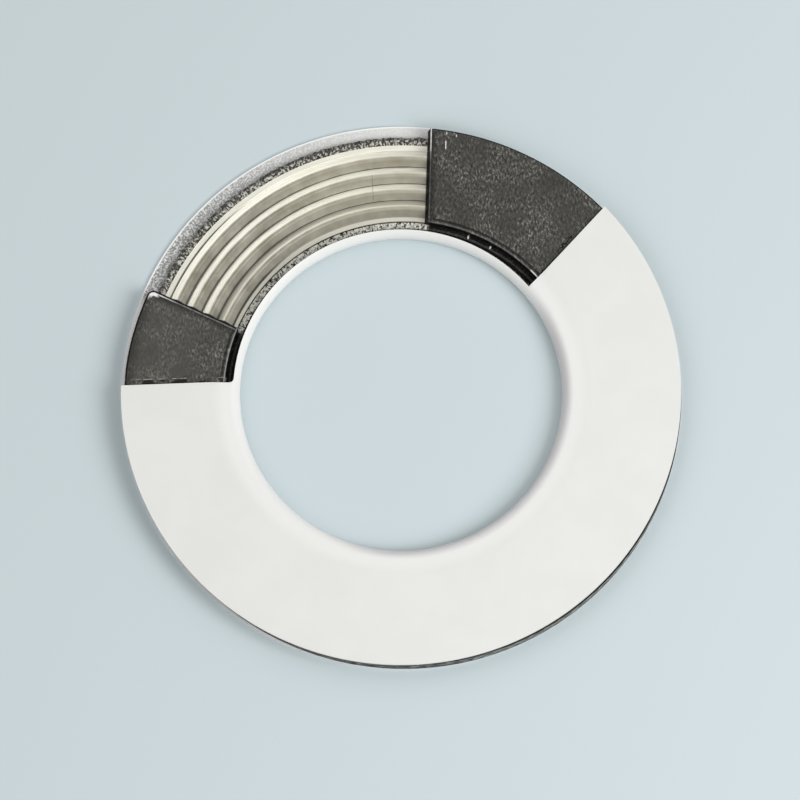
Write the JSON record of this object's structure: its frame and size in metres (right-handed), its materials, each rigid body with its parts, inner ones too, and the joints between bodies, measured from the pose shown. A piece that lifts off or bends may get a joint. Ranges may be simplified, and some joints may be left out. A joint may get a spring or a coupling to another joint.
{
  "type": "envelope gasket",
  "caption": "Flat white envelope gasket for a pipe flange, cut away in steps to show its graphite facings and corrugated steel core",
  "frame": {"origin": "centre of the bore's axis in the plane of the lower lip's underside, on which the gasket lies", "axes": "+Z is the bore's axis, up through the cut-away side; the window in the facings lies towards +Y"},
  "size_m": [0.1049, 0.1048, 0.0043],
  "materials": {
    "white_ptfe": "white, waxy, satin smooth, with faint turning marks",
    "upper_graphite": "dark grey expanded graphite, rolled, with fine light flakes",
    "stainless_sheet": "bright pressed stainless sheet with fine rings along the ridges",
    "lower_graphite": "dark grey expanded graphite, torn and flaky where it shows"
  },
  "bodies": {
    "root": {"envelope": "white_ptfe", "upper_facing": "upper_graphite", "corrugated_core": "stainless_sheet", "lower_facing": "lower_graphite"}
  },
  "joints": []
}
